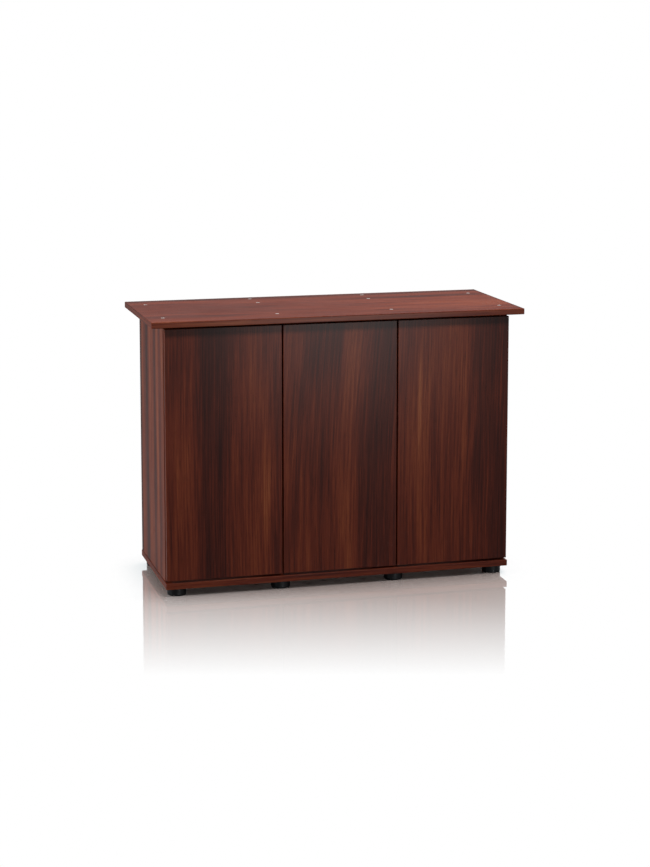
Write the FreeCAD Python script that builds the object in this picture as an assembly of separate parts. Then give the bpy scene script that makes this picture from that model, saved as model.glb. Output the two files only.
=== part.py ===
import FreeCAD, Part
import math
import os

# Aquarium cabinet: three handle-less doors between an overhanging top and a
# bottom panel on eight levelling feet. All sizes are in millimetres.
# The origin lies on the floor under the middle of the top panel, +Z is up,
# the doors face -Y and +X points to the right of someone facing them.

# Overall size, which is the top panel's size and its height over the floor
top_width = 1010.0
top_depth = 410.0
overall_height = 730.0

# Board thicknesses
top_thickness = 16.0
bottom_thickness = 16.0
side_thickness = 16.0
partition_thickness = 16.0
rail_thickness = 16.0
shelf_thickness = 16.0
door_thickness = 16.0
edge_radius = 1.0
top_edge_radius = 2.0

# How far the top reaches past the carcass and the doors, and the bottom's lips
side_overhang = 36.0
front_overhang = 19.5
back_overhang = 25.0
bottom_side_lip = 1.5
bottom_front_lip = 2.0

# Gaps round the closed doors
door_gap = 3.0
door_reveal = 1.0
door_split = 4.0
door_top_gap = 6.0
door_bottom_gap = 6.0

# Rear rails, and the hose and cable passage between them and the partitions
rail_height = 125.0
rear_passage = 21.0

# Shelves in the outer bays, with their rows of pin holes
shelf_height = 360.0
shelf_front_setback = 20.0
shelf_side_gap = 2.0
pin_row_setback = 50.0
pin_hole_pitch = 32.0
pin_hole_count = 7
pin_radius = 2.5
pin_hole_depth = 9.0
pin_seat = 8.0
pin_collar_radius = 4.0
pin_collar = 1.5
pin_nose_radius = 3.0
pin_nose = 8.0

# Assembly screws with flush heads, in the top and the bottom panel
screw_head_radius = 5.0
screw_head = 3.5
screw_neck_radius = 3.5
screw_core_radius = 2.5
screw_length = 50.0
screw_tip = 3.0
screw_sink = 0.2
screw_hex = 4.0
screw_hex_depth = 2.4
front_screw_setback = 39.5
rear_screw_setback = 50.0
rail_screw_x = 161.0

# Wooden dowels
dowel_radius = 4.0
dowel_length = 30.0
dowel_in_face = 11.5
dowel_chamfer = 1.0
dowel_setback = 95.0
dowel_rail_spread = 50.0

# Levelling feet with their threaded sockets
foot_height = 22.0
foot_radius = 25.0
foot_rim = 3.5
foot_shoulder = 1.5
foot_side_inset = 32.0
foot_front_inset = 35.5
foot_rear_inset = 30.0
stud_radius = 5.0
stud_reach = 11.0
socket_flange = 1.5
socket_flange_radius = 12.0
socket_radius = 7.5
socket_length = 12.0
foot_clearance = 0.3

# Concealed hinges: the cup in the door, with its pivot pin
hinge_end_distance = 95.0
pivot_depth = 8.5
swing_clearance = 0.9
hinge_pin_radius = 1.25
hinge_pin_length = 16.0
knuckle_radius = 2.6
knuckle_width = 7.0
cup_radius = 17.4
cup_wall = 1.0
cup_floor = 0.8
cup_flange = 1.2
cup_rim = 0.9
cup_ear_width = 14.0
cup_ear_span = 62.0
cup_screw_span = 48.0
cup_screw_offset = 6.0
slot_length = 28.0

# Concealed hinges: the arm and its mounting plate on the carcass
strap_below = 2.0
strap_above = 1.5
riser_clearance = 1.8
riser_thickness = 3.5
arm_length = 62.0
arm_bend = 12.0
arm_width = 14.0
arm_wall = 1.5
arm_web = 2.0
arm_lift = 3.0
plate_height = 9.5
plate_base = 2.5
plate_setback = 37.0
plate_wing_width = 16.0
plate_wing_span = 52.0
plate_screw_span = 32.0
ridge_width = 10.0
ridge_front = 22.0
ridge_rear = 60.0
clamp_setback = 52.0

# Push-to-open latches with their strike plates
latch_height = 560.0
middle_latch_height = 490.0
latch_size = 18.0
latch_length = 72.0
latch_setback = 2.0
latch_corner = 4.0
latch_bore_depth = 62.0
latch_flange = 3.0
latch_flange_length = 32.0
latch_flange_span = 52.0
latch_screw_span = 40.0
plunger_radius = 5.0
plunger_length = 54.0
plunger_tip_radius = 3.8
plunger_tip = 2.0
latch_contact = 0.3
strike_radius = 8.0
strike_thickness = 1.2

# Small screws of the hinges and latches: head radius, head, shank radius, length in the wood
plate_screw_head_radius = 4.2
plate_screw_head = 2.0
plate_screw_radius = 2.5
plate_screw_bite = 11.5
cup_screw_head_radius = 3.4
cup_screw_head = 1.6
cup_screw_radius = 1.75
cup_screw_bite = 11.0
latch_screw_head_radius = 3.2
latch_screw_head = 1.6
latch_screw_radius = 1.75
latch_screw_bite = 11.0
clamp_head_radius = 3.75
clamp_head = 2.2
clamp_radius = 2.0
clamp_bite = 6.0
recess_depth = 1.0

# Clearances
fit = 0.1
running_fit = 0.05
press_fit = 0.02
end_clearance = 0.5
knuckle_clearance = 0.3

# Planes that the boards share
carcass_half = top_width / 2 - side_overhang
side_inner = carcass_half - side_thickness
door_front = -top_depth / 2 + front_overhang
door_back = door_front + door_thickness
carcass_front = door_back + door_gap
carcass_back = top_depth / 2 - back_overhang
rail_front = carcass_back - rail_thickness
partition_back = rail_front - rear_passage
top_under = overall_height - top_thickness
bay_floor = foot_height + bottom_thickness
bottom_half = carcass_half + bottom_side_lip
bottom_front = door_front - bottom_front_lip

# Three equal doors; the partitions stand behind the gaps between them
door_width = (2 * (carcass_half - door_reveal) - 2 * door_split) / 3
partition_x = (door_width + door_split) / 2
partition_outer = partition_x + partition_thickness / 2
partition_inner = partition_x - partition_thickness / 2
door_low = bay_floor + door_bottom_gap
door_high = top_under - door_top_gap
hinge_heights = [door_low + hinge_end_distance, door_high - hinge_end_distance]

# The pivot lies as far from the door's edge as lets the door's rounded corner
# swing past the front edge of the board that carries it
swing_radius = door_gap + pivot_depth - swing_clearance - edge_radius
pivot_inset = edge_radius + math.sqrt(swing_radius ** 2 - (pivot_depth - edge_radius) ** 2)
pivot_y = door_back - pivot_depth
cup_inset = pivot_inset + cup_radius - knuckle_radius - knuckle_clearance - cup_wall
cup_depth = pivot_depth + knuckle_radius + knuckle_clearance + cup_floor
riser_reach = pivot_depth + cup_flange + riser_clearance

# Hinge sides of the left and the middle door: the door's edge and the board's face
left_door_edge = -(carcass_half - door_reveal)
left_hinge_face = -side_inner
middle_door_edge = -door_width / 2
middle_hinge_face = -partition_inner

latch_front = carcass_front + latch_setback
latch_y = latch_front + latch_length / 2
plunger_front = door_back + strike_thickness + latch_contact
left_latch_x = -partition_outer - latch_size / 2
middle_latch_x = partition_inner - latch_size / 2


def point(x, y, z):
    return FreeCAD.Vector(x, y, z)


def slab(x0, x1, y0, y1, z0, z1):
    """A square-edged board between the given planes."""
    return Part.makeBox(x1 - x0, y1 - y0, z1 - z0, point(x0, y0, z0))


def eased(board, axes, radius=edge_radius):
    """Rounds those edges of a board that run along the given axes."""
    picked = []
    for edge in board.Edges:
        run = edge.Vertexes[1].Point - edge.Vertexes[0].Point
        along = "x" if abs(run.x) > 0 else "y" if abs(run.y) > 0 else "z"
        if along in axes:
            picked.append(edge)
    return board.makeFillet(radius, picked)


def rod(radius, x, y, z, dx, dy, dz):
    """A cylinder from a point along a vector, as long as the vector."""
    run = point(dx, dy, dz)
    return Part.makeCylinder(radius, run.Length, point(x, y, z), run)


def turned(profile, x, y, z, direction):
    """A turned solid: (radius, height) corners about an axis from a point."""
    corners = [point(radius, 0, height) for radius, height in profile]
    face = Part.Face(Part.makePolygon(corners + corners[:1]))
    solid = face.revolve(point(0, 0, 0), point(0, 0, 1), 360)
    turn = FreeCAD.Rotation(point(0, 0, 1), direction)
    solid.Placement = FreeCAD.Placement(point(x, y, z), turn)
    return solid


def rounded(corners):
    """Lines and arcs of a closed flat outline from (u, v, corner radius)."""
    starts = []
    curves = []
    for index, (u, v, radius) in enumerate(corners):
        here = point(u, v, 0)
        before = point(*corners[index - 1][:2], 0) - here
        after = point(*corners[(index + 1) % len(corners)][:2], 0) - here
        if radius == 0:
            starts.append((here, here, None))
            continue
        half = before.getAngle(after) / 2
        middle = (before.normalize() + after.normalize()).normalize()
        back = radius / math.tan(half)
        top = here + middle * (radius / math.sin(half) - radius)
        starts.append((here + before * back, here + after * back, top))
    for index, (first, last, top) in enumerate(starts):
        if top is not None:
            curves.append(Part.Arc(first, top, last).toShape())
        following = starts[(index + 1) % len(starts)][0]
        if (following - last).Length > 1e-6:
            curves.append(Part.LineSegment(last, following).toShape())
    return Part.Face(Part.Wire(curves))


def prism(corners, axis, start, end):
    """An outline pushed along an axis; u and v are the other two axes in order."""
    flat = rounded(corners)
    if axis == "z":
        flat.translate(point(0, 0, start))
        return flat.extrude(point(0, 0, end - start))
    turn = FreeCAD.Rotation(point(1, 0, 0), 90)
    if axis == "x":
        turn = FreeCAD.Rotation(point(0, 0, 1), 90).multiply(turn)
    move = point(0, start, 0) if axis == "y" else point(start, 0, 0)
    flat.Placement = FreeCAD.Placement(move, turn)
    push = point(0, end - start, 0) if axis == "y" else point(end - start, 0, 0)
    return flat.extrude(push)


def box_outline(u0, u1, v0, v1, radius):
    """Corners of a rectangle with one corner radius."""
    return [(u0, v0, radius), (u1, v0, radius), (u1, v1, radius), (u0, v1, radius)]


def hex_recess(across, x, y, z, depth, axis):
    """A hexagon socket from a height down to its depth, along an axis."""
    reach = across / math.sqrt(3)
    u, v, start = (x, y, z) if axis == "z" else (y, z, x) if axis == "x" else (x, z, y)
    corners = []
    for step in range(6):
        angle = math.radians(60 * step)
        corners.append((u + reach * math.cos(angle), v + reach * math.sin(angle), 0))
    return prism(corners, axis, start, start + depth)


def cut(solid, tools):
    """Takes the tools out of a solid, which stays in one piece."""
    left = solid.cut(tools).Solids
    if len(left) != 1:
        raise ValueError("a cut left %d solids" % len(left))
    return left[0]


def joined(pieces):
    """One solid from pieces that meet."""
    whole = pieces[0].fuse(pieces[1:]).removeSplitter().Solids
    if len(whole) != 1:
        raise ValueError("a joint left %d solids" % len(whole))
    return whole[0]


def mirrored(shape):
    """The same shape on the other side of the middle plane."""
    return shape.mirror(point(0, 0, 0), point(1, 0, 0))


def both_sides(shapes):
    """Shapes and their mirror images."""
    return shapes + [mirrored(shape) for shape in shapes]


def save(name, shapes):
    """Writes one node, a single solid or a group of alike solids."""
    whole = shapes[0] if len(shapes) == 1 else Part.makeCompound(shapes)
    whole.exportStep("parts/" + name + ".step")


def screw_spots():
    """Where assembly screws pass the top and the bottom panel, on the left half."""
    side_x = -carcass_half + side_thickness / 2
    rail_y = carcass_back - rail_thickness / 2
    return [
        (side_x, carcass_front + front_screw_setback),
        (side_x, carcass_back - rear_screw_setback),
        (-partition_x, carcass_front + front_screw_setback),
        (-partition_x, partition_back - rear_screw_setback),
        (-rail_screw_x, rail_y),
    ]


def dowel_spots():
    """Where upright dowels stand, on the left half."""
    side_x = -carcass_half + side_thickness / 2
    return [
        (side_x, carcass_front + dowel_setback),
        (side_x, carcass_back - dowel_setback),
        (-partition_x, carcass_front + dowel_setback),
        (-partition_x, partition_back - dowel_setback),
    ]


def rail_dowel_heights():
    """Heights of the level dowels that hold the ends of both rear rails."""
    middles = [bay_floor + rail_height / 2, top_under - rail_height / 2]
    return [z + turn * dowel_rail_spread / 2 for z in middles for turn in (-1, 1)]


def assembly_screw(x, y, z, up, thickness):
    """A flush screw whose head lies just under the face at height z."""
    neck = thickness - screw_sink - fit
    profile = [
        (0, 0),
        (screw_head_radius, 0),
        (screw_head_radius, -screw_head),
        (screw_neck_radius, -screw_head),
        (screw_neck_radius, -neck),
        (screw_core_radius, -neck),
        (screw_core_radius, -screw_length + screw_tip),
        (0, -screw_length),
    ]
    top = z - up * screw_sink
    body = turned(profile, x, y, top, point(0, 0, up))
    return cut(body, [hex_recess(screw_hex, x, y, top, -up * screw_hex_depth, "z")])


def head_holes(z, up, thickness):
    """Stepped holes in the top or the bottom panel for the assembly screws."""
    tools = []
    seat = screw_sink + screw_head
    for x, y in screw_spots():
        tools.append(rod(screw_head_radius + fit, x, y, z, 0, 0, -up * seat))
        tools.append(rod(screw_neck_radius + fit, x, y, z, 0, 0, -up * thickness))
    return both_sides(tools)


def core_holes(z, up, thickness):
    """Holes for the screws' threads in the edges that meet a panel's inner face."""
    depth = screw_length + screw_sink - thickness + end_clearance
    tools = [rod(screw_core_radius + fit, x, y, z, 0, 0, -up * depth) for x, y in screw_spots()]
    return both_sides(tools)


def upright_dowel(x, y, z, up):
    """A dowel across the joint at height z, with its shorter end in the panel."""
    profile = [
        (0, 0),
        (dowel_radius - dowel_chamfer, 0),
        (dowel_radius, dowel_chamfer),
        (dowel_radius, dowel_length - dowel_chamfer),
        (dowel_radius - dowel_chamfer, dowel_length),
        (0, dowel_length),
    ]
    return turned(profile, x, y, z + up * dowel_in_face, point(0, 0, -up))


def level_dowel(z):
    """A dowel from the left side panel into the end of a rear rail."""
    dowel = upright_dowel(0, 0, 0, 1)
    place = point(left_hinge_face, carcass_back - rail_thickness / 2, z)
    turn = FreeCAD.Rotation(point(0, 0, 1), point(-1, 0, 0))
    dowel.Placement = FreeCAD.Placement(place, turn).multiply(dowel.Placement)
    return dowel


def dowel_holes(z, up, in_edge):
    """Holes for the upright dowels at a joint, in the panel or in the edges."""
    reach = dowel_length - dowel_in_face if in_edge else dowel_in_face
    run = (reach + end_clearance) * (-up if in_edge else up)
    tools = [rod(dowel_radius + fit, x, y, z, 0, 0, run) for x, y in dowel_spots()]
    return both_sides(tools)


def rail_end_holes(in_rail):
    """Holes for the level dowels, in the rails' ends or in the side panels."""
    reach = dowel_length - dowel_in_face if in_rail else -dowel_in_face
    run = reach + math.copysign(end_clearance, reach)
    y = carcass_back - rail_thickness / 2
    tools = []
    for z in rail_dowel_heights():
        tools.append(rod(dowel_radius + fit, left_hinge_face, y, z, run, 0, 0))
    return both_sides(tools)


def pin_rows():
    """The two rows, front and rear, of the pin holes of the left shelf."""
    front = carcass_front + shelf_front_setback + pin_row_setback
    return [front, partition_back - pin_row_setback]


def pin_holes(face_x, into):
    """Two rows of shelf pin holes in an upright board of the left bay."""
    tools = []
    for y in pin_rows():
        for step in range(pin_hole_count):
            z = shelf_height - pin_nose_radius + (step - pin_hole_count // 2) * pin_hole_pitch
            tools.append(rod(pin_radius + fit, face_x, y, z, into * pin_hole_depth, 0, 0))
    return tools


def shelf_pin(face_x, y, into):
    """A pin with a collar on the board's face and a nose under the shelf."""
    profile = [
        (0, -pin_seat),
        (pin_radius, -pin_seat),
        (pin_radius, 0),
        (pin_collar_radius, 0),
        (pin_collar_radius, pin_collar),
        (pin_nose_radius, pin_collar),
        (pin_nose_radius, pin_collar + pin_nose),
        (0, pin_collar + pin_nose),
    ]
    return turned(profile, face_x, y, shelf_height - pin_nose_radius, point(-into, 0, 0))


def foot_spots():
    """Centres of the eight feet, with their names."""
    front = bottom_front + foot_front_inset
    rear = carcass_back - foot_rear_inset
    outer = carcass_half - foot_side_inset
    columns = [
        ("outer_left", -outer),
        ("inner_left", -partition_x),
        ("inner_right", partition_x),
        ("outer_right", outer),
    ]
    rows = [("front", front), ("rear", rear)]
    return [("foot_%s_%s" % (row, column), x, y) for row, y in rows for column, x in columns]


def foot(x, y):
    """A moulded levelling foot: a round disc with rounded rims and its stud."""
    top = foot_height - socket_flange - foot_clearance
    body = rod(foot_radius, x, y, 0, 0, 0, top)
    lower = [edge for edge in body.Edges if edge.BoundBox.ZMax < foot_rim]
    body = body.makeFillet(foot_rim, lower)
    upper = [edge for edge in body.Edges if edge.BoundBox.ZMin > top - foot_shoulder]
    body = body.makeFillet(foot_shoulder, upper)
    stud = rod(stud_radius, x, y, top - foot_shoulder, 0, 0, foot_height + stud_reach - top + foot_shoulder)
    return joined([body, stud])


def foot_socket(x, y):
    """A threaded sleeve in the bottom panel with its flange on the underside."""
    bore = stud_radius + running_fit
    low = foot_height - socket_flange
    profile = [
        (bore, 0),
        (socket_flange_radius, 0),
        (socket_flange_radius, socket_flange),
        (socket_radius, socket_flange),
        (socket_radius, socket_flange + socket_length),
        (bore, socket_flange + socket_length),
    ]
    return turned(profile, x, y, low, point(0, 0, 1))


def socket_holes():
    """Blind holes in the bottom panel for the feet's sockets."""
    depth = socket_length + end_clearance
    return [rod(socket_radius + fit, x, y, foot_height, 0, 0, depth) for name, x, y in foot_spots()]


def small_screw(head_radius, head, radius, length, x, y, z, outward):
    """A round-headed screw seated at a point, with a drive recess."""
    crown = head_radius * 0.7
    profile = [
        (0, -length),
        (radius * 0.4, -length),
        (radius, -length + radius),
        (radius, 0),
        (head_radius, 0),
        (head_radius, head * 0.45),
        (crown, head),
        (radius * 0.8, head),
        (radius * 0.5, head - recess_depth),
        (0, head - recess_depth),
    ]
    return turned(profile, x, y, z, outward)


def plate_screw_spots():
    """Heights of the screws of the two mounting plates on one board."""
    return [z + turn * plate_screw_span / 2 for z in hinge_heights for turn in (-1, 1)]


def plate_screws(face_x):
    """Screws through the mounting plates on one board's face."""
    screws = []
    for z in plate_screw_spots():
        screws.append(small_screw(
            plate_screw_head_radius, plate_screw_head, plate_screw_radius,
            plate_base + plate_screw_bite,
            face_x + plate_base, carcass_front + plate_setback, z, point(1, 0, 0)))
    return screws


def plate_screw_holes(face_x, depth):
    """Holes along X at the mounting plates' screws, into the wood or the plate."""
    y = carcass_front + plate_setback
    return [rod(plate_screw_radius + fit, face_x, y, z, depth, 0, 0) for z in plate_screw_spots()]


def mounting_plate(face_x, z):
    """A cross-shaped plate: two screwed wings and the ridge that takes the arm."""
    middle = carcass_front + plate_setback
    wing = box_outline(
        middle - plate_wing_width / 2, middle + plate_wing_width / 2,
        z - plate_wing_span / 2, z + plate_wing_span / 2, plate_wing_width * 0.45)
    ridge = box_outline(
        carcass_front + ridge_front, carcass_front + ridge_rear,
        z - ridge_width / 2, z + ridge_width / 2, ridge_width * 0.2)
    wings = prism(wing, "x", face_x, face_x + plate_base)
    spine = prism(ridge, "x", face_x, face_x + plate_height)
    tools = plate_screw_holes(face_x, plate_base)
    depth = clamp_bite + end_clearance
    clamp = rod(
        clamp_radius + fit, face_x + plate_height, carcass_front + clamp_setback, z, -depth, 0, 0)
    return cut(joined([wings, spine]), tools + [clamp])


def hinge_arm(face_x, edge_x, z):
    """A cranked arm: a knuckle on the pin, a strap, a riser and a channel."""
    pivot_x = edge_x + pivot_inset
    low = pivot_y - strap_below
    high = pivot_y + strap_above
    riser_in = pivot_x + riser_reach
    riser_out = riser_in + riser_thickness
    web_in = face_x + plate_height
    web_out = web_in + arm_web
    bend_front = carcass_front - door_gap / 2
    bend_back = carcass_front + arm_bend
    rear = carcass_front + arm_length
    neck = [
        (pivot_x, low, 0),
        (riser_out, low, riser_thickness * 0.8),
        (riser_out, bend_front, edge_radius),
        (web_out, bend_back, edge_radius),
        (web_out, bend_back + arm_bend, 0),
        (web_in, bend_back + arm_bend, 0),
        (web_in, bend_back, edge_radius),
        (riser_in, bend_front, edge_radius),
        (riser_in, high, edge_radius),
        (pivot_x, high, 0),
    ]
    strap = prism(neck, "z", z - knuckle_width / 2, z + knuckle_width / 2)
    knuckle = rod(knuckle_radius, pivot_x, pivot_y, z - knuckle_width / 2, 0, 0, knuckle_width)
    half = arm_width / 2
    channel = [
        (face_x + arm_lift, z - half, 0),
        (web_out, z - half, arm_wall),
        (web_out, z + half, arm_wall),
        (face_x + arm_lift, z + half, 0),
        (face_x + arm_lift, z + half - arm_wall, 0),
        (web_in, z + half - arm_wall, 0),
        (web_in, z - half + arm_wall, 0),
        (face_x + arm_lift, z - half + arm_wall, 0),
    ]
    body = prism(channel, "y", bend_back, rear)
    bore = rod(
        hinge_pin_radius + running_fit, pivot_x, pivot_y, z - knuckle_width / 2, 0, 0, knuckle_width)
    clamp = rod(clamp_radius + fit, web_in, carcass_front + clamp_setback, z, arm_web, 0, 0)
    return cut(joined([strap, knuckle, body]), [bore, clamp])


def clamp_screw(face_x, z):
    """The screw that holds an arm on its mounting plate."""
    return small_screw(
        clamp_head_radius, clamp_head, clamp_radius, arm_web + clamp_bite,
        face_x + plate_height + arm_web, carcass_front + clamp_setback, z, point(1, 0, 0))


def hinge_cup(edge_x, z):
    """A cup let into the door's back, with two screwed ears and a slot for the arm."""
    pivot_x = edge_x + pivot_inset
    middle = edge_x + cup_inset
    pot = rod(cup_radius, middle, door_back, z, 0, -cup_depth, 0)
    rim = rod(cup_radius + cup_rim, middle, door_back, z, 0, cup_flange, 0)
    ear_x = middle + cup_screw_offset
    ears = box_outline(
        ear_x - cup_ear_width / 2, ear_x + cup_ear_width / 2,
        z - cup_ear_span / 2, z + cup_ear_span / 2, cup_ear_width * 0.45)
    bridge = prism(ears, "y", door_back, door_back + cup_flange)
    room = knuckle_radius + knuckle_clearance
    slot = [
        (pivot_x - room, pivot_y - room, room * 0.9),
        (pivot_x - room + slot_length, pivot_y - room, room * 0.9),
        (pivot_x - room + slot_length, door_back + 2 * cup_flange, 0),
        (pivot_x - room, door_back + 2 * cup_flange, 0),
    ]
    half = knuckle_width / 2 + knuckle_clearance
    tools = [prism(slot, "z", z - half, z + half)]
    tools.append(rod(
        hinge_pin_radius + press_fit, pivot_x, pivot_y, z - hinge_pin_length / 2 - press_fit,
        0, 0, hinge_pin_length + 2 * press_fit))
    for turn in (-1, 1):
        tools.append(rod(
            cup_screw_radius + fit, ear_x, door_back, z + turn * cup_screw_span / 2, 0, cup_flange, 0))
    return cut(joined([pot, rim, bridge]), tools)


def hinge_pin(edge_x, z):
    """The pin that a cup holds at both ends and an arm's knuckle turns on."""
    low = z - hinge_pin_length / 2
    return rod(hinge_pin_radius, edge_x + pivot_inset, pivot_y, low, 0, 0, hinge_pin_length)


def cup_screws(edge_x):
    """The screws of both cups of one door."""
    screws = []
    for z in hinge_heights:
        for turn in (-1, 1):
            screws.append(small_screw(
                cup_screw_head_radius, cup_screw_head, cup_screw_radius,
                cup_flange + cup_screw_bite,
                edge_x + cup_inset + cup_screw_offset, door_back + cup_flange,
                z + turn * cup_screw_span / 2, point(0, 1, 0)))
    return screws


def door(edge_x):
    """A door board from its hinge edge, with the bores for its two hinges."""
    board = slab(edge_x, edge_x + door_width, door_front, door_back, door_low, door_high)
    tools = []
    depth = cup_screw_bite + end_clearance
    for z in hinge_heights:
        tools.append(rod(
            cup_radius + fit, edge_x + cup_inset, door_back, z, 0, -cup_depth - fit, 0))
        for turn in (-1, 1):
            tools.append(rod(
                cup_screw_radius + fit, edge_x + cup_inset + cup_screw_offset, door_back,
                z + turn * cup_screw_span / 2, 0, -depth, 0))
    return cut(eased(board, "xyz"), tools)


def latch_housing(x, z):
    """A latch body beside a partition on its right, with a screwed flange."""
    half = latch_size / 2
    face = x + half
    body = prism(
        box_outline(x - half, face, z - half, z + half, latch_corner),
        "y", latch_front, latch_front + latch_length)
    flange = prism(
        box_outline(
            latch_y - latch_flange_length / 2, latch_y + latch_flange_length / 2,
            z - latch_flange_span / 2, z + latch_flange_span / 2, latch_corner),
        "x", face - latch_flange, face)
    tools = [rod(plunger_radius + running_fit, x, latch_front, z, 0, latch_bore_depth, 0)]
    tools += latch_screw_holes(face, z, -latch_flange)
    return cut(joined([body, flange]), tools)


def latch_screw_holes(face, z, depth):
    """Holes along X at a latch's screws, into the partition or the flange."""
    heights = [z + turn * latch_screw_span / 2 for turn in (-1, 1)]
    return [rod(latch_screw_radius + fit, face, latch_y, height, depth, 0, 0) for height in heights]


def latch_screws(x, z):
    """The two screws of a latch."""
    screws = []
    for turn in (-1, 1):
        screws.append(small_screw(
            latch_screw_head_radius, latch_screw_head, latch_screw_radius,
            latch_flange + latch_screw_bite,
            x + latch_size / 2 - latch_flange, latch_y,
            z + turn * latch_screw_span / 2, point(-1, 0, 0)))
    return screws


def plunger(x, z):
    """A round plunger with a stepped tip, drawn in as the closed door holds it."""
    profile = [
        (0, 0),
        (plunger_tip_radius, 0),
        (plunger_tip_radius, plunger_tip),
        (plunger_radius, plunger_tip),
        (plunger_radius, plunger_length),
        (0, plunger_length),
    ]
    return turned(profile, x, plunger_front, z, point(0, 1, 0))


def strike_plate(x, z):
    """A flat steel disc on the door's back, in front of the plunger."""
    return rod(strike_radius, x, door_back, z, 0, strike_thickness, 0)


def top_panel():
    """The overhanging top, with its screw and dowel holes."""
    board = slab(
        -top_width / 2, top_width / 2, -top_depth / 2, top_depth / 2, top_under, overall_height)
    tools = head_holes(overall_height, 1, top_thickness)
    return cut(eased(board, "xyz", top_edge_radius), tools + dowel_holes(top_under, 1, False))


def bottom_panel():
    """The bottom under the sides and the doors, with holes for screws and sockets."""
    board = slab(-bottom_half, bottom_half, bottom_front, carcass_back, foot_height, bay_floor)
    tools = head_holes(foot_height, -1, bottom_thickness) + socket_holes()
    return cut(eased(board, "xyz"), tools + dowel_holes(bay_floor, -1, False))


def edge_holes():
    """All holes that enter the upright boards from above and below."""
    tools = core_holes(top_under, 1, top_thickness) + core_holes(bay_floor, -1, bottom_thickness)
    return tools + dowel_holes(top_under, 1, True) + dowel_holes(bay_floor, -1, True)


def side_panel():
    """The left side panel."""
    board = slab(-carcass_half, -side_inner, carcass_front, carcass_back, bay_floor, top_under)
    tools = edge_holes() + rail_end_holes(False) + pin_holes(left_hinge_face, -1)
    tools += plate_screw_holes(left_hinge_face, -plate_screw_bite - end_clearance)
    return cut(eased(board, "z"), tools)


def left_partition():
    """The left partition: the left door's latch and the middle door's hinges."""
    board = slab(
        -partition_outer, -partition_inner, carcass_front, partition_back, bay_floor, top_under)
    tools = edge_holes() + pin_holes(-partition_outer, 1)
    tools += latch_screw_holes(-partition_outer, latch_height, latch_screw_bite + end_clearance)
    tools += plate_screw_holes(middle_hinge_face, -plate_screw_bite - end_clearance)
    return cut(eased(board, "z"), tools)


def right_partition():
    """The right partition: the middle door's latch and the right door's latch."""
    board = slab(
        partition_inner, partition_outer, carcass_front, partition_back, bay_floor, top_under)
    depth = latch_screw_bite + end_clearance
    tools = edge_holes() + [mirrored(hole) for hole in pin_holes(-partition_outer, 1)]
    tools += latch_screw_holes(partition_inner, middle_latch_height, depth)
    tools += latch_screw_holes(partition_outer, latch_height, -depth)
    return cut(eased(board, "z"), tools)


def rear_rail(low):
    """A rail between the side panels, screwed to the top or the bottom panel."""
    board = slab(-side_inner, side_inner, rail_front, carcass_back, low, low + rail_height)
    return cut(eased(board, "x"), edge_holes() + rail_end_holes(True))


def shelf():
    """The shelf of the left bay, lying on four pins."""
    board = slab(
        -side_inner + shelf_side_gap, -partition_outer - shelf_side_gap,
        carcass_front + shelf_front_setback, partition_back,
        shelf_height, shelf_height + shelf_thickness)
    return eased(board, "x")


os.makedirs("parts", exist_ok=True)

# Carcass boards
save("top_panel", [top_panel()])
save("bottom_panel", [bottom_panel()])
left_side = side_panel()
save("left_side_panel", [left_side])
save("right_side_panel", [mirrored(left_side)])
save("left_partition", [left_partition()])
save("right_partition", [right_partition()])
save("upper_rear_rail", [rear_rail(top_under - rail_height)])
save("lower_rear_rail", [rear_rail(bay_floor)])
left_shelf = shelf()
save("left_shelf", [left_shelf])
save("right_shelf", [mirrored(left_shelf)])

# What holds the boards together
top_set = [assembly_screw(x, y, overall_height, 1, top_thickness) for x, y in screw_spots()]
save("top_screws", both_sides(top_set))
bottom_set = [assembly_screw(x, y, foot_height, -1, bottom_thickness) for x, y in screw_spots()]
save("bottom_screws", both_sides(bottom_set))
dowels = [upright_dowel(x, y, top_under, 1) for x, y in dowel_spots()]
dowels += [upright_dowel(x, y, bay_floor, -1) for x, y in dowel_spots()]
dowels += [level_dowel(z) for z in rail_dowel_heights()]
save("wooden_dowels", both_sides(dowels))
pins = [shelf_pin(-side_inner, y, -1) for y in pin_rows()]
pins += [shelf_pin(-partition_outer, y, 1) for y in pin_rows()]
save("shelf_pins", both_sides(pins))

# Levelling feet
save("foot_sockets", [foot_socket(x, y) for name, x, y in foot_spots()])
for name, x, y in foot_spots():
    save(name, [foot(x, y)])

# Doors and their hinges; the right door's set mirrors the left door's
for name, edge_x, face_x, latch_x, latch_z in [
    ("left", left_door_edge, left_hinge_face, left_latch_x, latch_height),
    ("middle", middle_door_edge, middle_hinge_face, middle_latch_x, middle_latch_height),
]:
    pieces = {
        "_door": [door(edge_x)],
        "_door_hinge_cups": [hinge_cup(edge_x, z) for z in hinge_heights],
        "_door_hinge_pins": [hinge_pin(edge_x, z) for z in hinge_heights],
        "_door_cup_screws": cup_screws(edge_x),
        "_door_strike_plate": [strike_plate(latch_x, latch_z)],
        "_door_hinge_arms": [hinge_arm(face_x, edge_x, z) for z in hinge_heights],
        "_door_hinge_plates": [mounting_plate(face_x, z) for z in hinge_heights],
        "_latch_housing": [latch_housing(latch_x, latch_z)],
        "_latch_plunger": [plunger(latch_x, latch_z)],
    }
    for ending, shapes in pieces.items():
        save(name + ending, shapes)
        if name == "left":
            save("right" + ending, [mirrored(shape) for shape in shapes])

# Screws of the hinges and latches
plate_set = both_sides(plate_screws(left_hinge_face)) + plate_screws(middle_hinge_face)
save("hinge_plate_screws", plate_set)
clamp_set = both_sides([clamp_screw(left_hinge_face, z) for z in hinge_heights])
save("hinge_clamp_screws", clamp_set + [clamp_screw(middle_hinge_face, z) for z in hinge_heights])
latch_set = both_sides(latch_screws(left_latch_x, latch_height))
save("latch_screws", latch_set + latch_screws(middle_latch_x, middle_latch_height))
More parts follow.
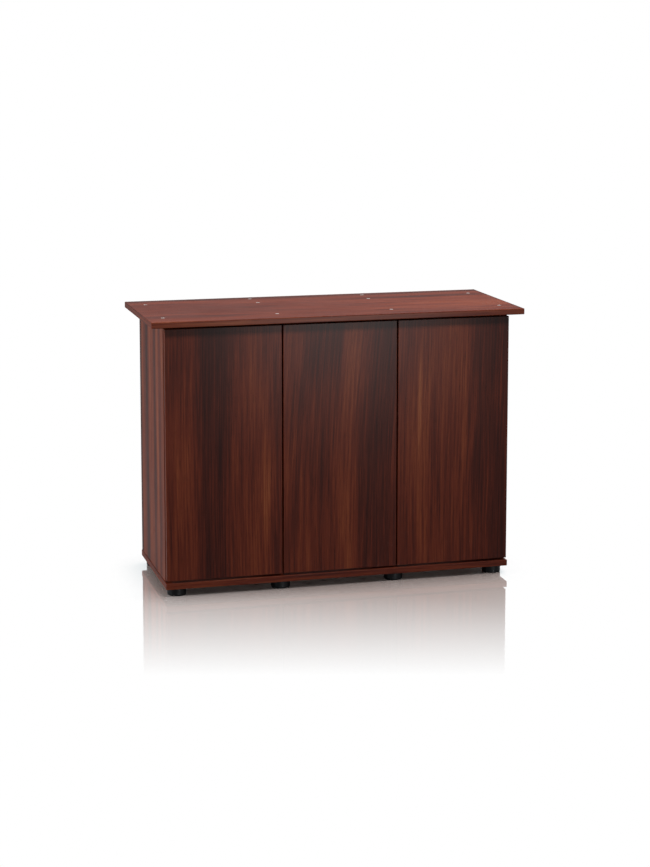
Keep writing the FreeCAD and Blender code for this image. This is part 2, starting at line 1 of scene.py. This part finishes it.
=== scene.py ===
"""Looks of the aquarium cabinet: walnut-decor boards, fittings, a white floor, lamps and the camera.

The shapes are the CAD nodes themselves: this script gives them their materials and adds no piece.
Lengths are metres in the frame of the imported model: the doors face -Y, +X is to the right, +Z is up.
"""
import math
from collections import namedtuple
from itertools import combinations

import bpy
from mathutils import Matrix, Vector


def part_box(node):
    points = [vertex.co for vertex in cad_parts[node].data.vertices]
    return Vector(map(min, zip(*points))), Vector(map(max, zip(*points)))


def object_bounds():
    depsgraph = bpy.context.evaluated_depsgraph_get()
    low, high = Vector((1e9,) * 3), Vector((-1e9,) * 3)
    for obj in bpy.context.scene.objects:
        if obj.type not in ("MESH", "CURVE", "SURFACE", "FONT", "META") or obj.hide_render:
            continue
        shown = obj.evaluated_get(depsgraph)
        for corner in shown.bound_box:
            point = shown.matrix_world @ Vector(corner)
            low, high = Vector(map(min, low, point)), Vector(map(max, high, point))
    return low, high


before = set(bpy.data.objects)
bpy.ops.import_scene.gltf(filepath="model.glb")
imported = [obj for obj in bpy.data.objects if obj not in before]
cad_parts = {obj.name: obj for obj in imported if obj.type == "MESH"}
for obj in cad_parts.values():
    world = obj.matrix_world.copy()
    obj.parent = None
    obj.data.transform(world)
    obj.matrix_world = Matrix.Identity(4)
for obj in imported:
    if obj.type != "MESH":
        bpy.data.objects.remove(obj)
cad_low, cad_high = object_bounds()

X, Y, Z = 0, 1, 2

# Picture and camera: a long lens from the front left, about twice as high as the top panel
IMAGE_HEIGHT = 867
SENSOR = 36.0
FOCAL_PIXELS = 2035.2
CAMERA_PLACE = (-1.4133, -5.2643, 1.4883)
CAMERA_YAW = 15.106
CAMERA_PITCH = 7.877
CAMERA_SHIFT = -0.15

# Noise has features per metre. Grain is noise drawn out along a board, with features per metre
# across and along it.
Noise = namedtuple("Noise", "scale detail roughness")
Grain = namedtuple("Grain", "across along detail roughness")

# Walnut decor: the grain's layers, and how strongly each one sways or tones the wood
DRIFT = Grain(5.0, 1.3, 1.0, 0.5)
CLOUDS = Grain(9.0, 0.35, 1.0, 0.5)
BLOTCHES = Grain(15.0, 2.4, 2.0, 0.5)
STREAKS = Grain(42.0, 1.1, 3.0, 0.7)
FINE_LINES = Grain(210.0, 4.4, 3.0, 0.7)
PORES = Grain(900.0, 24.0, 1.0, 0.5)
LAYERS_PER_METRE = 40.0
DRIFT_SIZE = 0.016
CLOUD_STRENGTH = 0.50
BLOTCH_STRENGTH = 0.42
STREAK_STRENGTH = 0.56
FINE_STRENGTH = 1.08
PORE_START = 0.60
PORE_FULL = 0.74
PORE_DARKENING = 0.45
SEED_START = 1.3
SEED_STEP = 3.7

# Walnut decor: colours from its dark tones to its light ones, and of its pores and worn arrises
WALNUT_TONES = [
    (0.00, (0.034, 0.0092, 0.0076)),
    (0.30, (0.082, 0.0168, 0.0108)),
    (0.50, (0.148, 0.0282, 0.0148)),
    (0.75, (0.232, 0.0540, 0.0225)),
    (1.00, (0.340, 0.1020, 0.0400)),
]
PORE_COLOUR = (0.02, 0.008, 0.006)
WORN_COLOUR = (0.30, 0.14, 0.085)
WORN_WIDTH = 0.0022
WORN_STRENGTH = 0.16
RUBBING = Noise(38.0, 3.0, 0.6)
RUBBING_START = 0.42
RUBBING_FULL = 0.68

# Walnut decor: how deep a board's edge bands and decor reach, and the chipboard under them
EDGE_BAND = 0.0009
CORE_DEPTH = 0.0012
CHIPBOARD = (0.42, 0.30, 0.18)
CHIPBOARD_DARK = (0.20, 0.13, 0.07)
CHIPS = Noise(420.0, 3.0, 0.7)
CHIPS_START = 0.38
CHIPS_FULL = 0.62

# Walnut decor: gloss and relief
SMUDGES = Noise(7.0, 3.0, 0.6)
WOOD_ROUGHNESS = 0.44
SMUDGE_ROUGHNESS = 0.16
PORE_ROUGHNESS = 0.12
CORE_ROUGHNESS = 0.9
FINE_RELIEF = 0.35
CHIP_RELIEF = 2.0
WOOD_RELIEF_DEPTH = 0.00025
WOOD_RELIEF_STRENGTH = 0.5
WOOD_GLOSS = {"Specular IOR Level": 0.01, "Coat Weight": 0.075, "Coat Roughness": 0.24, "Coat IOR": 1.3}

# Plated metal: patches in the plating, and scratches drawn out by axis
PATCH_DETAIL = 4.0
PATCH_NOISE_ROUGHNESS = 0.6
PATCH_START = 0.35
PATCH_FULL = 0.65
PATCH_ROUGHNESS = 0.18
SCRATCHES = Noise(2200.0, 2.0, 0.6)
SCRATCH_SCALE_X = 4.0
SCRATCH_SCALE_Z = 0.35
SCRATCH_ROUGHNESS = 0.08
SCRATCH_DEPTH = 0.00004
SCRATCH_STRENGTH = 0.35

# Moulded plastic: flow marks and a fine texture
FLOW = Noise(60.0, 4.0, 0.6)
FLOW_ROUGHNESS = 0.2
TEXTURE_DETAIL = 2.0
TEXTURE_NOISE_ROUGHNESS = 0.5
TEXTURE_DEPTH = 0.00008
TEXTURE_STRENGTH = 0.4

# Beech
BEECH_CLOUDS = Noise(90.0, 3.0, 0.6)
BEECH_LIGHT = (0.66, 0.46, 0.28)
BEECH_DARK = (0.52, 0.33, 0.18)
BEECH_ROUGHNESS = 0.5
BEECH_CLOUD_ROUGHNESS = 0.2
FLECKS = Noise(900.0, 2.0, 0.6)
FLECK_START = 0.56
FLECK_FULL = 0.70
FLECK_COLOUR = (0.26, 0.13, 0.06)
FLECK_SHARE = 0.5
FLECK_DEPTH = 0.00005
FLECK_STRENGTH = 0.4

# Floor: half its width, and where under the cabinet it starts to fade into the white surroundings,
# which with FLOOR_GLOW lightens the shade under the cabinet as painted light
FLOOR_REACH = 7.0
FLOOR_INSET = (0.085, 0.065)
FLOOR_FADE = 0.16
FLOOR_GLOW = 0.043
FLOOR_COLOUR = 0.95
FLOOR_BOUNCE = 0.10
FLOOR_MOTTLE = Noise(3.0, 3.0, 0.6)
FLOOR_MOTTLE_STRENGTH = 0.01

# Floor: its shine, which fades away from the cabinet, towards the front and in steep views, with a
# painted warm tint on its reflection
SHINE = 0.72
SHINE_TINT = (0.891, 0.973, 1.0)
SHINE_TURN = 15.0
SHINE_END = -0.93
SHINE_FULL = -0.21
SHINE_REACH = 1.1
SHINE_BLEND = 0.5
SHINE_STEEP = 0.15
SHINE_SHALLOW = 0.66
SHINE_ROUGHNESS = 0.04

# Light that surfaces gather from the white surroundings
WORLD_LIGHT = 0.14


class Graph:
    """A node tree with short calls for the nodes that the materials use."""

    def __init__(self, tree):
        self.tree = tree
        tree.nodes.clear()

    def put(self, socket, value):
        if isinstance(value, bpy.types.NodeSocket):
            self.tree.links.new(value, socket)
        else:
            socket.default_value = value

    def add(self, kind, inputs=None, **settings):
        node = self.tree.nodes.new(kind)
        for key, value in settings.items():
            setattr(node, key, value)
        for key, value in (inputs or {}).items():
            self.put(node.inputs[key], value)
        return node

    def math(self, operation, first, *others):
        """An operation on one value, or on several from left to right."""
        if not others:
            return self.add("ShaderNodeMath", {0: first}, operation=operation).outputs[0]
        for other in others:
            first = self.add("ShaderNodeMath", {0: first, 1: other}, operation=operation).outputs[0]
        return first

    def scaled(self, value, gain, offset):
        return self.math("ADD", self.math("MULTIPLY", value, gain), offset)

    def between(self, value, start, end, kind="SMOOTHSTEP"):
        """0 at the start, 1 at the end, and smooth or linear from one to the other."""
        inputs = {"Value": value, "From Min": start, "From Max": end}
        return self.add("ShaderNodeMapRange", inputs, interpolation_type=kind).outputs["Result"]

    def blend(self, factor, a, b):
        return self.add("ShaderNodeMix", {0: factor, 2: a, 3: b}, data_type="FLOAT").outputs[0]

    def mix(self, factor, a, b):
        inputs = {0: factor, 6: colour(a), 7: colour(b)}
        return self.add("ShaderNodeMix", inputs, data_type="RGBA").outputs[2]

    def combine(self, x, y, z):
        return self.add("ShaderNodeCombineXYZ", {0: x, 1: y, 2: z}).outputs[0]

    def noise(self, vector, scale, detail, roughness):
        inputs = {"Vector": vector, "Scale": scale, "Detail": detail, "Roughness": roughness}
        return self.add("ShaderNodeTexNoise", inputs).outputs["Fac"]

    def ramp(self, factor, stops):
        node = self.add("ShaderNodeValToRGB", {"Fac": factor})
        elements = node.color_ramp.elements
        while len(elements) < len(stops):
            elements.new(1.0)
        for element, (place, tone) in zip(elements, stops):
            element.position = place
            element.color = colour(tone)
        return node.outputs["Color"]

    def object_position(self):
        return self.add("ShaderNodeTexCoord").outputs["Object"]

    def axes(self, vector):
        node = self.add("ShaderNodeSeparateXYZ", {0: vector})
        return node.outputs["X"], node.outputs["Y"], node.outputs["Z"]

    def bump(self, height, distance, strength):
        inputs = {"Height": height, "Distance": distance, "Strength": strength}
        return self.add("ShaderNodeBump", inputs).outputs["Normal"]

    def principled(self, inputs):
        shader = self.add("ShaderNodeBsdfPrincipled", inputs)
        self.surface(shader.outputs["BSDF"])

    def surface(self, shader):
        self.add("ShaderNodeOutputMaterial", {"Surface": shader})


def colour(value):
    """A grey number or three channels as a colour with full opacity; a socket stays as it is."""
    if isinstance(value, bpy.types.NodeSocket):
        return value
    if isinstance(value, (int, float)):
        return (value, value, value, 1.0)
    return (*value, 1.0)


def inset(graph, value, low, high):
    """How far inside two limits a coordinate lies, and below 0 outside them."""
    off_centre = graph.math("ABSOLUTE", graph.math("SUBTRACT", value, (low + high) / 2))
    return graph.math("SUBTRACT", (high - low) / 2, off_centre)


def new_material(name):
    material = bpy.data.materials.new(name)
    material.use_nodes = True
    return material, Graph(material.node_tree)


def dress(node_name, material):
    """Gives a CAD node its material in every slot."""
    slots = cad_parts[node_name].data.materials
    slots.clear()
    slots.append(material)


# Walnut boards

def grain(graph, run, width, depth, seed):
    """The wood's grain lines, and its clouds, blotches, streaks, fine lines and pores along the run."""
    layer = graph.scaled(depth, LAYERS_PER_METRE, seed)

    def drawn_out(line, kind):
        x = graph.math("MULTIPLY", line, kind.across)
        y = graph.math("MULTIPLY", run, kind.along)
        return graph.noise(graph.combine(x, y, layer), 1.0, kind.detail, kind.roughness)

    sway = graph.math("SUBTRACT", drawn_out(width, DRIFT), 0.5)
    line = graph.math("ADD", width, graph.math("MULTIPLY", sway, DRIFT_SIZE))
    layers = [drawn_out(line, kind) for kind in (CLOUDS, BLOTCHES, STREAKS, FINE_LINES)]
    pores = graph.between(drawn_out(line, PORES), PORE_START, PORE_FULL)
    return line, *layers, pores


def soft_streak(graph, line, height, low, high, streak):
    """One soft streak along the grain: light where its gain is over 0, and dark where it is under 0; a
    few of them are painted light and shade.
    """
    aside = graph.math("ABSOLUTE", graph.math("SUBTRACT", line, low + streak.place * (high - low)))
    beyond = graph.math("ABSOLUTE", graph.math("SUBTRACT", height, streak.middle))
    across = graph.between(aside, streak.half_width, 0.0)
    along = graph.between(beyond, streak.half_length, 0.0)
    return graph.math("MULTIPLY", across, along, streak.gain)


def worn_share(graph, position, distances):
    """1 on a board's rubbed arrises, 0 elsewhere; the distances are to its ends, sides and faces."""
    to_arrises = [graph.math("ADD", a, b) for a, b in combinations(distances, 2)]
    nearest = graph.math("MINIMUM", *to_arrises)
    rubbed = graph.between(graph.noise(position, *RUBBING), RUBBING_START, RUBBING_FULL)
    return graph.math("MULTIPLY", graph.between(nearest, WORN_WIDTH, 0.0), rubbed)


def walnut(node_name, along, across, depth, figure, band_tone, seed):
    """Walnut decor on one board: grain, edge bands, worn arrises, and chipboard in its holes."""
    low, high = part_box(node_name)
    material, graph = new_material("walnut_" + node_name)
    position = graph.object_position()
    coordinates = graph.axes(position)
    axes = (along, across, depth)
    distances = [inset(graph, coordinates[axis], low[axis], high[axis]) for axis in axes]
    on_end = graph.math("LESS_THAN", distances[0], EDGE_BAND)
    on_side = graph.math("LESS_THAN", distances[1], EDGE_BAND)

    # Grain lines: along the board on its faces and long bands, and across it on its end bands
    run = graph.blend(on_end, coordinates[along], coordinates[across])
    height = graph.math("SUBTRACT", coordinates[along], (low[along] + high[along]) / 2)
    lean, bow = LEANS.get(node_name, (0.0, 0.0))
    slope = graph.scaled(height, bow, lean)
    slanted = graph.math("SUBTRACT", coordinates[across], graph.math("MULTIPLY", height, slope))
    width = graph.blend(graph.math("MAXIMUM", on_end, on_side), slanted, coordinates[depth])
    line, clouds, blotches, streaks, fine, pores = grain(graph, run, width, coordinates[depth], seed)

    # Tone: the board's figure or its bands' tone, then the grain and the single streaks; some figure
    # stops and streaks are painted light and shade
    place = graph.between(line, low[across], high[across], "LINEAR")
    tone = graph.blend(on_side, graph.ramp(place, figure), band_tone)
    tone = graph.blend(on_end, tone, END_TONES.get(node_name, band_tone))
    strengths = (CLOUD_STRENGTH, BLOTCH_STRENGTH, STREAK_STRENGTH, FINE_STRENGTH)
    for layer, strength in zip((clouds, blotches, streaks, fine), strengths):
        change = graph.math("MULTIPLY", graph.math("SUBTRACT", layer, 0.5), strength)
        tone = graph.math("ADD", tone, change)
    for streak in STREAKS_AND_PAINTED_SHADING.get(node_name, []):
        gain = soft_streak(graph, line, height, low[across], high[across], streak)
        tone = graph.math("ADD", tone, gain)

    # Colour: the decor with its pores and wear, and chipboard below it
    wood = graph.ramp(tone, WALNUT_TONES)
    wood = graph.mix(graph.math("MULTIPLY", pores, PORE_DARKENING), wood, PORE_COLOUR)
    worn = worn_share(graph, position, distances)
    wood = graph.mix(graph.math("MULTIPLY", worn, WORN_STRENGTH), wood, WORN_COLOUR)
    chips = graph.noise(position, *CHIPS)
    chipboard = graph.mix(graph.between(chips, CHIPS_START, CHIPS_FULL), CHIPBOARD_DARK, CHIPBOARD)
    in_core = graph.math("GREATER_THAN", graph.math("MINIMUM", *distances), CORE_DEPTH)
    base = graph.mix(in_core, wood, chipboard)

    # Gloss and relief
    roughness = graph.scaled(graph.noise(position, *SMUDGES), SMUDGE_ROUGHNESS, WOOD_ROUGHNESS)
    roughness = graph.math("ADD", roughness, graph.math("MULTIPLY", pores, PORE_ROUGHNESS))
    roughness = graph.math("MAXIMUM", roughness, graph.math("MULTIPLY", in_core, CORE_ROUGHNESS))
    relief = graph.math("SUBTRACT", graph.math("MULTIPLY", fine, FINE_RELIEF), pores)
    relief = graph.math("ADD", relief, graph.math("MULTIPLY", chips, in_core, CHIP_RELIEF))
    normal = graph.bump(relief, WOOD_RELIEF_DEPTH, WOOD_RELIEF_STRENGTH)
    graph.principled({"Base Color": base, "Roughness": roughness, "Normal": normal, **WOOD_GLOSS})
    dress(node_name, material)


# Tone across each board, from its low side to its high side: 0 dark, 0.5 middling, 1 light
PLAIN = [(0.0, 0.50), (1.0, 0.50)]
# The top's figure; its last two stops are painted shade along its back edge.
TOP_FIGURE_AND_BACK_SHADE = [
    (0.00, 0.38), (0.11, 0.35), (0.21, 0.39), (0.30, 0.44), (0.40, 0.455), (0.50, 0.52), (0.60, 0.44),
    (0.70, 0.385), (0.75, 0.375), (0.79, 0.36), (0.84, 0.43), (0.89, 0.44), (0.945, 0.14), (1.00, 0.20),
]
# The side panels' figure; its last two stops are painted shade along their back edges.
SIDE_FIGURE_AND_BACK_SHADE = [
    (0.00, 0.62), (0.06, 0.74), (0.11, 0.56), (0.17, 0.22), (0.25, 0.68), (0.31, 0.52), (0.345, 0.08),
    (0.385, 0.08), (0.43, 0.44), (0.50, 0.60), (0.57, 0.74), (0.62, 0.52), (0.665, 0.06), (0.715, 0.04),
    (0.76, 0.40), (0.82, 0.55), (0.88, 0.57), (0.90, 0.70), (0.935, 0.10), (1.00, 0.02),
]
LEFT_DOOR_FIGURE = [
    (0.00, 0.47), (0.20, 0.50), (0.27, 0.34), (0.33, 0.22), (0.46, 0.24), (0.54, 0.44), (0.75, 0.49),
    (1.00, 0.45),
]
MIDDLE_DOOR_FIGURE = [
    (0.00, 0.48), (0.20, 0.46), (0.32, 0.36), (0.44, 0.42), (0.55, 0.60), (0.66, 0.52), (0.78, 0.32),
    (0.90, 0.28), (1.00, 0.40),
]
RIGHT_DOOR_FIGURE = [
    (0.00, 0.48), (0.12, 0.52), (0.20, 0.60), (0.30, 0.46), (0.45, 0.43), (0.58, 0.48), (0.66, 0.37),
    (0.78, 0.22), (1.00, 0.18),
]

# Tone of a board's end bands where it isn't that of its long ones
END_TONES = {"top_panel": 0.48}

# Lean of the grain to a board's high side, as length across per length along, and its change per metre
LEANS = {"left_door": (0.00, 0.02), "middle_door": (0.045, 0.07), "right_door": (0.02, 0.03)}

# Single streaks, light or dark, a few of them painted light and shade: the place across the board is a
# share of it, and the rest are metres
Streak = namedtuple("Streak", "place middle half_length half_width gain")
STREAKS_AND_PAINTED_SHADING = {
    "top_panel": [
        Streak(0.40, 0.42, 0.40, 0.15, 0.24),
        Streak(0.745, 0.30, 0.48, 0.034, -0.34),
        Streak(0.06, 0.08, 0.12, 0.014, 0.28),
        Streak(0.20, 0.26, 0.10, 0.020, 0.12),
        Streak(0.20, -0.30, 0.12, 0.024, -0.12),
        Streak(0.74, -0.20, 0.10, 0.020, 0.12),
        # A dark band across the top's right end: painted shade along that edge.
        Streak(0.50, 0.505, 0.009, 0.60, -0.35),
    ],
    "left_door": [
        Streak(0.57, -0.06, 0.24, 0.005, 0.22),
        Streak(0.87, -0.12, 0.24, 0.020, 0.22),
        Streak(0.74, 0.20, 0.18, 0.030, 0.12),
        Streak(0.22, 0.26, 0.34, 0.14, -0.16),
        Streak(0.86, 0.28, 0.16, 0.05, -0.06),
        Streak(0.12, -0.30, 0.14, 0.07, -0.06),
    ],
    "middle_door": [
        Streak(0.54, 0.16, 0.20, 0.010, 0.16),
        Streak(0.62, 0.20, 0.16, 0.006, 0.16),
        Streak(0.58, -0.20, 0.16, 0.006, 0.18),
        # A broad light patch low on the middle door: painted light where the lamps light the door's
        # foot less.
        Streak(0.45, -0.30, 0.42, 0.15, 0.09),
        Streak(0.70, -0.30, 0.16, 0.09, 0.10),
        Streak(0.25, 0.28, 0.16, 0.12, -0.08),
        Streak(0.84, 0.13, 0.12, 0.05, 0.07),
    ],
    "right_door": [
        Streak(0.20, 0.12, 0.20, 0.012, 0.24),
        Streak(0.60, 0.04, 0.24, 0.005, 0.20),
        Streak(0.27, -0.20, 0.06, 0.005, 0.14),
        Streak(0.14, -0.30, 0.26, 0.06, -0.11),
        Streak(0.14, 0.10, 0.26, 0.06, 0.10),
        Streak(0.78, 0.29, 0.18, 0.10, -0.13),
        Streak(0.88, -0.24, 0.16, 0.05, -0.06),
    ],
}

# Boards: node, axes along and across the grain and through the board, figure, tone of its bands
BOARDS = [
    ("top_panel", X, Y, Z, TOP_FIGURE_AND_BACK_SHADE, 0.63),
    ("bottom_panel", X, Y, Z, PLAIN, 0.59),
    ("left_side_panel", Z, Y, X, SIDE_FIGURE_AND_BACK_SHADE, 0.55),
    ("right_side_panel", Z, Y, X, SIDE_FIGURE_AND_BACK_SHADE, 0.55),
    ("left_partition", Z, Y, X, PLAIN, 0.50),
    ("right_partition", Z, Y, X, PLAIN, 0.50),
    ("upper_rear_rail", X, Z, Y, PLAIN, 0.50),
    ("lower_rear_rail", X, Z, Y, PLAIN, 0.50),
    ("left_shelf", X, Y, Z, PLAIN, 0.50),
    ("right_shelf", X, Y, Z, PLAIN, 0.50),
    ("left_door", Z, X, Y, LEFT_DOOR_FIGURE, 0.54),
    ("middle_door", Z, X, Y, MIDDLE_DOOR_FIGURE, 0.54),
    ("right_door", Z, X, Y, RIGHT_DOOR_FIGURE, 0.54),
]
for number, board in enumerate(BOARDS):
    walnut(*board, seed=SEED_STEP * number + SEED_START)


# Fittings

def metal(name, light, dark, roughness, patch_scale):
    """Plated steel: patches in the plating, fine scratches and uneven gloss."""
    material, graph = new_material(name)
    position = graph.object_position()
    patches = graph.noise(position, patch_scale, PATCH_DETAIL, PATCH_NOISE_ROUGHNESS)
    x, y, z = graph.axes(position)
    x = graph.math("MULTIPLY", x, SCRATCH_SCALE_X)
    z = graph.math("MULTIPLY", z, SCRATCH_SCALE_Z)
    scratches = graph.noise(graph.combine(x, y, z), *SCRATCHES)
    base = graph.mix(graph.between(patches, PATCH_START, PATCH_FULL), dark, light)
    rough = graph.scaled(patches, PATCH_ROUGHNESS, roughness)
    rough = graph.math("ADD", rough, graph.math("MULTIPLY", scratches, SCRATCH_ROUGHNESS))
    normal = graph.bump(scratches, SCRATCH_DEPTH, SCRATCH_STRENGTH)
    graph.principled({"Base Color": base, "Metallic": 1.0, "Roughness": rough, "Normal": normal})
    return material


def plastic(name, light, dark, roughness, texture_scale, gloss):
    """Moulded plastic: a fine spark-eroded texture and faint flow marks."""
    material, graph = new_material(name)
    position = graph.object_position()
    flow = graph.noise(position, *FLOW)
    texture = graph.noise(position, texture_scale, TEXTURE_DETAIL, TEXTURE_NOISE_ROUGHNESS)
    graph.principled({
        "Base Color": graph.mix(flow, dark, light),
        "Roughness": graph.scaled(flow, FLOW_ROUGHNESS, roughness),
        "Normal": graph.bump(texture, TEXTURE_DEPTH, TEXTURE_STRENGTH),
        "Specular IOR Level": gloss,
    })
    return material


def beech(name):
    """Pale beech with small dark flecks."""
    material, graph = new_material(name)
    position = graph.object_position()
    flecks = graph.between(graph.noise(position, *FLECKS), FLECK_START, FLECK_FULL)
    clouds = graph.noise(position, *BEECH_CLOUDS)
    base = graph.mix(clouds, BEECH_DARK, BEECH_LIGHT)
    base = graph.mix(graph.math("MULTIPLY", flecks, FLECK_SHARE), base, FLECK_COLOUR)
    graph.principled({
        "Base Color": base,
        "Roughness": graph.scaled(clouds, BEECH_CLOUD_ROUGHNESS, BEECH_ROUGHNESS),
        "Normal": graph.bump(flecks, FLECK_DEPTH, FLECK_STRENGTH),
    })
    return material


ZINC = metal(
    "zinc_plating", light=(0.60, 0.59, 0.57), dark=(0.45, 0.44, 0.42),
    roughness=0.34, patch_scale=240.0)
NICKEL = metal(
    "nickel_plating", light=(0.68, 0.66, 0.62), dark=(0.54, 0.52, 0.48),
    roughness=0.20, patch_scale=120.0)
BLACK = plastic(
    "black_plastic", light=(0.007, 0.007, 0.008), dark=(0.003, 0.003, 0.004),
    roughness=0.34, texture_scale=1500.0, gloss=0.07)
GREY = plastic(
    "grey_plastic", light=(0.30, 0.31, 0.32), dark=(0.24, 0.25, 0.26),
    roughness=0.40, texture_scale=1700.0, gloss=0.15)
LIGHT = plastic(
    "light_plastic", light=(0.74, 0.73, 0.70), dark=(0.64, 0.63, 0.60),
    roughness=0.36, texture_scale=1700.0, gloss=0.15)
BEECH = beech("beech")

for name in ("top_screws", "bottom_screws", "shelf_pins"):
    dress(name, ZINC)
for name in ("latch_screws", "hinge_plate_screws", "hinge_clamp_screws"):
    dress(name, ZINC)
dress("wooden_dowels", BEECH)
dress("foot_sockets", BLACK)
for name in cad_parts:
    if name.startswith(("foot_front", "foot_rear")):
        dress(name, BLACK)
for side in ("left", "middle", "right"):
    for part in ("hinge_cups", "hinge_pins", "hinge_arms", "hinge_plates"):
        dress(f"{side}_door_{part}", NICKEL)
    dress(f"{side}_door_cup_screws", ZINC)
    dress(f"{side}_door_strike_plate", ZINC)
    dress(f"{side}_latch_housing", GREY)
    dress(f"{side}_latch_plunger", LIGHT)


# Floor: white, with a faint shine close to the cabinet, fading into the white surroundings

def footprint_distance(graph, x, y):
    """How far a point of the floor is from a rectangle FLOOR_INSET inside the top panel's outline."""
    beyond_x = graph.math("SUBTRACT", FLOOR_INSET[X], inset(graph, x, cad_low.x, cad_high.x))
    beyond_y = graph.math("SUBTRACT", FLOOR_INSET[Y], inset(graph, y, cad_low.y, cad_high.y))
    beyond = [graph.math("MAXIMUM", value, 0.0) for value in (beyond_x, beyond_y)]
    squares = [graph.math("MULTIPLY", value, value) for value in beyond]
    return graph.math("SQRT", graph.math("ADD", *squares))


def seen_directly(graph):
    """1 for camera, mirror and glass rays, and 0 for the light that surfaces gather."""
    path = graph.add("ShaderNodeLightPath").outputs
    rays = ("Is Camera Ray", "Is Glossy Ray", "Is Transmission Ray")
    return graph.math("MAXIMUM", *[path[ray] for ray in rays])


def depth_share(graph, x, y):
    """Rises from 0 to 1 towards the back of the floor, along a line turned a little to the right."""
    turn = math.radians(SHINE_TURN)
    to_right = graph.math("MULTIPLY", x, math.sin(turn))
    to_back = graph.math("MULTIPLY", y, math.cos(turn))
    return graph.between(graph.math("ADD", to_right, to_back), SHINE_END, SHINE_FULL, "LINEAR")


def floor_material():
    material, graph = new_material("floor_white")
    position = graph.object_position()
    x, y, _ = graph.axes(position)
    away = footprint_distance(graph, x, y)
    seen = seen_directly(graph)
    white = graph.scaled(graph.noise(position, *FLOOR_MOTTLE), FLOOR_MOTTLE_STRENGTH, FLOOR_COLOUR)
    tone = graph.blend(seen, FLOOR_BOUNCE, white)

    # The mirrored share of the light, and the rest of it
    share = graph.math("MINIMUM", graph.between(away, SHINE_REACH, 0.0), depth_share(graph, x, y))
    facing = graph.add("ShaderNodeLayerWeight", {"Blend": SHINE_BLEND}).outputs["Facing"]
    shallow = graph.between(facing, SHINE_STEEP, SHINE_SHALLOW)
    share = graph.math("MULTIPLY", share, shallow, SHINE, seen)
    # Painted reflection tint: the mirror is tinted cool and the rest warm, so the floor turns pinkish
    # where it mirrors the dark cabinet.
    mirrored = graph.mix(share, 0.0, SHINE_TINT)
    rest = graph.mix(share, 1.0, [1.0 - channel for channel in SHINE_TINT])

    inputs = {"Color": mirrored, "Roughness": SHINE_ROUGHNESS}
    mirror = graph.add("ShaderNodeBsdfGlossy", inputs).outputs[0]
    matt = graph.add("ShaderNodeBsdfDiffuse", {"Color": graph.mix(tone, 0.0, rest)}).outputs[0]
    clear = graph.add("ShaderNodeBsdfTransparent", {"Color": rest}).outputs[0]
    # Painted light: the floor gives way to the white surroundings from inside the cabinet's outline,
    # and FLOOR_GLOW lets some white through everywhere, lightening the shade under the cabinet.
    fade = graph.math("MAXIMUM", graph.between(away, 0.0, FLOOR_FADE), FLOOR_GLOW)
    ground = graph.add("ShaderNodeMixShader", {0: fade, 1: matt, 2: clear}).outputs[0]
    graph.surface(graph.add("ShaderNodeAddShader", {0: ground, 1: mirror}).outputs[0])
    return material


def make_floor():
    mesh = bpy.data.meshes.new("floor")
    corners = [(-1, -1), (1, -1), (1, 1), (-1, 1)]
    points = [(x * FLOOR_REACH, y * FLOOR_REACH, cad_low.z) for x, y in corners]
    mesh.from_pydata(points, [], [(0, 1, 2, 3)])
    mesh.materials.append(floor_material())
    floor = bpy.data.objects.new("floor", mesh)
    bpy.context.scene.collection.objects.link(floor)


# Surroundings, lamps and camera

def make_world():
    """White surroundings, which light the cabinet only a little."""
    world = bpy.data.worlds.new("surroundings")
    world.use_nodes = True
    graph = Graph(world.node_tree)
    strength = graph.blend(seen_directly(graph), WORLD_LIGHT, 1.0)
    inputs = {"Color": colour(1.0), "Strength": strength}
    background = graph.add("ShaderNodeBackground", inputs).outputs[0]
    graph.add("ShaderNodeOutputWorld", {"Surface": background})
    bpy.context.scene.world = world


def softbox(name, place, target, width, height, watts, gloss_only=False):
    """A rectangular studio lamp turned towards a target; gloss_only keeps it to reflections."""
    lamp = bpy.data.lights.new(name, "AREA")
    lamp.shape = "RECTANGLE"
    lamp.size = width
    lamp.size_y = height
    lamp.energy = watts
    holder = bpy.data.objects.new(name, lamp)
    holder.location = place
    holder.rotation_euler = (Vector(target) - Vector(place)).to_track_quat("-Z", "Y").to_euler()
    holder.visible_camera = False
    holder.visible_diffuse = not gloss_only
    bpy.context.scene.collection.objects.link(holder)


def make_camera():
    lens = bpy.data.cameras.new("camera")
    lens.sensor_width = SENSOR
    lens.lens = FOCAL_PIXELS / IMAGE_HEIGHT * SENSOR
    lens.shift_y = CAMERA_SHIFT
    camera = bpy.data.objects.new("camera", lens)
    camera.location = CAMERA_PLACE
    camera.rotation_euler = (math.radians(90 - CAMERA_PITCH), 0.0, math.radians(-CAMERA_YAW))
    bpy.context.scene.collection.objects.link(camera)
    bpy.context.scene.camera = camera


make_floor()
make_world()
softbox(
    "overhead", place=(1.2, 1.1, 5.0), target=(0.0, 0.1, 0.7),
    width=3.2, height=2.4, watts=180.0)
softbox(
    "left_fill", place=(-3.2, -0.3, 1.2), target=(-0.4, 0.0, 0.4),
    width=1.4, height=1.2, watts=41.0)
softbox(
    "front_fill", place=(0.4, -2.6, 4.2), target=(0.0, -0.2, 0.4),
    width=1.4, height=0.8, watts=101.0)
softbox(
    "front_sheen", place=(1.25, -4.7, 0.26), target=(0.0, -0.2, 0.6),
    width=0.9, height=0.9, watts=160.0, gloss_only=True)
make_camera()
bpy.context.scene.view_settings.view_transform = "Standard"
